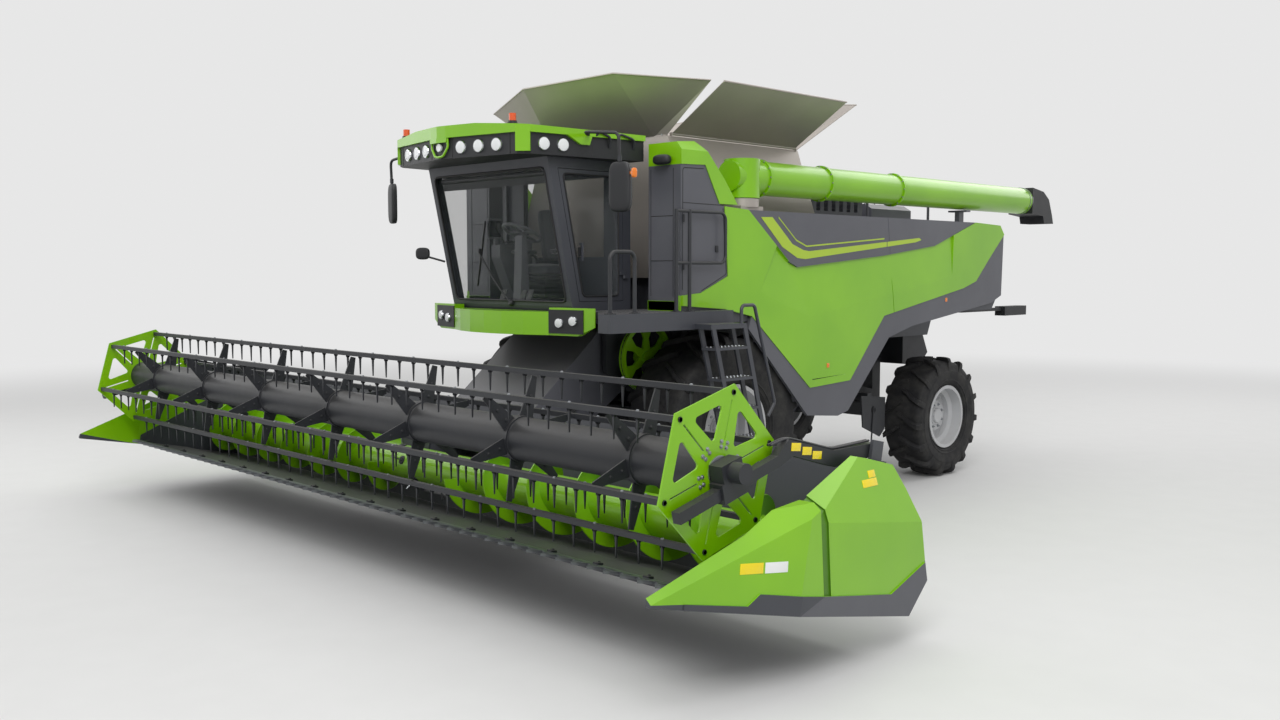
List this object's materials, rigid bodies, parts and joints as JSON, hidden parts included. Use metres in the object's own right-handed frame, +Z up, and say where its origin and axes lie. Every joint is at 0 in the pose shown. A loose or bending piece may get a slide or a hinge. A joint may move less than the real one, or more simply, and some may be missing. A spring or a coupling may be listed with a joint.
{
  "type": "combine harvester",
  "caption": "Self-propelled combine harvester with raised grain header, pick-up reel, open grain tank, folded unloading auger and hinged cab door.",
  "frame": {"origin": "on the ground under the middle of the whole machine", "axes": "+X is the machine's left, +Z is up, and it drives towards -Y"},
  "size_m": [9.14, 10.2732, 4.3177],
  "materials": {
    "green_paint": "semi-gloss",
    "grey_paint": "satin",
    "dark_paint": "satin",
    "silver_paint": "satin",
    "tyre": "matt",
    "glass": "clear",
    "steel": "worn",
    "stainless": "brushed",
    "chrome": "polished",
    "black_plastic": "matt",
    "fabric": "woven",
    "lamp": "clear",
    "cast": "rough"
  },
  "bodies": {
    "machine": {"chassis_frame": "dark_paint", "front_axle": "dark_paint", "rear_axle": "dark_paint", "separator_body": "grey_paint", "side_panels": "green_paint", "side_trims": "grey_paint", "rear_hood": "grey_paint", "grain_tank": "stainless", "tank_end_walls": "stainless", "tank_towers": "grey_paint", "tower_caps": "green_paint", "cab_shell": "grey_paint", "cab_windows": "glass", "cab_roof": "green_paint", "front_bumper": "green_paint", "driver_seat": "fabric", "control_console": "black_plastic", "platform": "grey_paint", "handrails": "dark_paint", "mirrors": "black_plastic", "drive_pulley": "green_paint", "engine": "cast", "engine_deck": "grey_paint", "straw_chopper": "dark_paint", "lamps": "lamp", "lamp_housings": "black_plastic"},
    "header": {"feeder_house": "grey_paint", "header_frame": "grey_paint", "cutter_bar": "steel", "divider_left": "green_paint", "divider_right": "green_paint"},
    "feed_auger": {"feed_auger": "green_paint"},
    "reel_lift": {"reel_arms": "dark_paint"},
    "reel_carriage": {"reel_slides": "dark_paint"},
    "reel": {"reel_frame": "dark_paint", "reel_plates": "green_paint"},
    "tine_bar_1": {"tine_bar_1": "dark_paint"},
    "tine_bar_2": {"tine_bar_2": "dark_paint"},
    "tine_bar_3": {"tine_bar_3": "dark_paint"},
    "tine_bar_4": {"tine_bar_4": "dark_paint"},
    "tine_bar_5": {"tine_bar_5": "dark_paint"},
    "tine_bar_6": {"tine_bar_6": "dark_paint"},
    "front_wheel_left": {"tyre_front_left": "tyre", "rim_front_left": "silver_paint"},
    "rear_wheel_left": {"tyre_rear_left": "tyre", "rim_rear_left": "silver_paint"},
    "knuckle_left": {"knuckle_left": "dark_paint"},
    "tank_flap_left": {"tank_flap_left": "stainless"},
    "front_wheel_right": {"tyre_front_right": "tyre", "rim_front_right": "silver_paint"},
    "rear_wheel_right": {"tyre_rear_right": "tyre", "rim_rear_right": "silver_paint"},
    "knuckle_right": {"knuckle_right": "dark_paint"},
    "tank_flap_right": {"tank_flap_right": "stainless"},
    "unloading_auger": {"unload_tube": "green_paint", "unload_spout": "black_plastic"},
    "cab_door": {"door_frame": "grey_paint", "door_glass": "glass"},
    "lift_barrels": {"lift_barrels": "dark_paint"},
    "lift_rods": {"lift_rods": "chrome"}
  },
  "joints": [
    {"name": "front_wheel_left_spin", "type": "hinge", "parent": "machine", "child": "front_wheel_left", "pos_m": [1.19, -1.115, 0.94], "axis": [1, 0, 0], "continuous": true},
    {"name": "steer_left", "type": "hinge", "parent": "machine", "child": "knuckle_left", "pos_m": [0.8, 2.825, 0.715], "axis": [0, 0, 1], "range_deg": [-30, 30]},
    {"name": "rear_wheel_left_spin", "type": "hinge", "parent": "knuckle_left", "child": "rear_wheel_left", "pos_m": [1.205, 2.825, 0.715], "axis": [1, 0, 0], "continuous": true},
    {"name": "front_wheel_right_spin", "type": "hinge", "parent": "machine", "child": "front_wheel_right", "pos_m": [-1.19, -1.115, 0.94], "axis": [1, 0, 0], "continuous": true},
    {"name": "steer_right", "type": "hinge", "parent": "machine", "child": "knuckle_right", "pos_m": [-0.8, 2.825, 0.715], "axis": [0, 0, 1], "range_deg": [-30, 30]},
    {"name": "rear_wheel_right_spin", "type": "hinge", "parent": "knuckle_right", "child": "rear_wheel_right", "pos_m": [-1.205, 2.825, 0.715], "axis": [1, 0, 0], "continuous": true},
    {"name": "header_lift", "type": "hinge", "parent": "machine", "child": "header", "pos_m": [0, -1.915, 1.62], "axis": [-1, 0, 0], "range_deg": [-11.5, 4]},
    {"name": "feed_auger_spin", "type": "hinge", "parent": "header", "child": "feed_auger", "pos_m": [0, -3.57853, 0.69567], "axis": [1, 0, 0], "continuous": true},
    {"name": "reel_lift", "type": "hinge", "parent": "header", "child": "reel_lift", "pos_m": [0, -3.04173, 1.29721], "axis": [-1, 0, 0], "range_deg": [-1.2, 22]},
    {"name": "reel_fore_aft", "type": "slide", "parent": "reel_lift", "child": "reel_carriage", "axis": [0, -0.9692, -0.2464], "range_m": [-0.25, 0.1]},
    {"name": "reel_spin", "type": "hinge", "parent": "reel_carriage", "child": "reel", "pos_m": [0, -4.47914, 1.31648], "axis": [1, 0, 0], "continuous": true},
    {"name": "tine_bar_1_feather", "type": "hinge", "parent": "reel", "child": "tine_bar_1", "pos_m": [0, -4.35512, 1.76982], "axis": [1, 0, 0], "continuous": true},
    {"name": "tine_bar_2_feather", "type": "hinge", "parent": "reel", "child": "tine_bar_2", "pos_m": [0, -4.80973, 1.65056], "axis": [1, 0, 0], "continuous": true},
    {"name": "tine_bar_3_feather", "type": "hinge", "parent": "reel", "child": "tine_bar_3", "pos_m": [0, -4.93375, 1.19721], "axis": [1, 0, 0], "continuous": true},
    {"name": "tine_bar_4_feather", "type": "hinge", "parent": "reel", "child": "tine_bar_4", "pos_m": [0, -4.60316, 0.86314], "axis": [1, 0, 0], "continuous": true},
    {"name": "tine_bar_5_feather", "type": "hinge", "parent": "reel", "child": "tine_bar_5", "pos_m": [0, -4.14854, 0.98241], "axis": [1, 0, 0], "continuous": true},
    {"name": "tine_bar_6_feather", "type": "hinge", "parent": "reel", "child": "tine_bar_6", "pos_m": [0, -4.02452, 1.43575], "axis": [1, 0, 0], "continuous": true},
    {"name": "unload_swing", "type": "hinge", "parent": "machine", "child": "unloading_auger", "pos_m": [1.43, -1, 3.36], "axis": [0, 0, -1], "range_deg": [0, 95]},
    {"name": "cab_door_swing", "type": "hinge", "parent": "machine", "child": "cab_door", "pos_m": [0.914, -2.06, 2.8], "axis": [0, 0, 1], "range_deg": [0, 80]},
    {"name": "tank_flap_left_fold", "type": "hinge", "parent": "machine", "child": "tank_flap_left", "pos_m": [0.94, -0.5075, 3.77], "axis": [0, -1, 0], "range_deg": [0, 140]},
    {"name": "tank_flap_right_fold", "type": "hinge", "parent": "machine", "child": "tank_flap_right", "pos_m": [-0.94, -0.5075, 3.77], "axis": [0, 1, 0], "range_deg": [0, 140]},
    {"name": "lift_barrel_swing", "type": "hinge", "parent": "machine", "child": "lift_barrels", "pos_m": [0, -1.37, 0.76], "axis": [-1, 0, 0], "range_deg": [-8.47, 3.6]},
    {"name": "lift_rod_slide", "type": "slide", "parent": "lift_barrels", "child": "lift_rods", "axis": [0, -0.9966, -0.082], "range_m": [-0.1951, 0.0744]}
  ],
  "couplings": [
    {"joint": "steer_right", "follows": "steer_left", "ratio": 1},
    {"joint": "tine_bar_1_feather", "follows": "reel_spin", "ratio": -1},
    {"joint": "tine_bar_2_feather", "follows": "reel_spin", "ratio": -1},
    {"joint": "tine_bar_3_feather", "follows": "reel_spin", "ratio": -1},
    {"joint": "tine_bar_4_feather", "follows": "reel_spin", "ratio": -1},
    {"joint": "tine_bar_5_feather", "follows": "reel_spin", "ratio": -1},
    {"joint": "tine_bar_6_feather", "follows": "reel_spin", "ratio": -1},
    {"joint": "lift_barrel_swing", "follows": "header_lift", "ratio": 0.64958},
    {"joint": "lift_rod_slide", "follows": "header_lift", "m_per_rad": 0.92225}
  ]
}
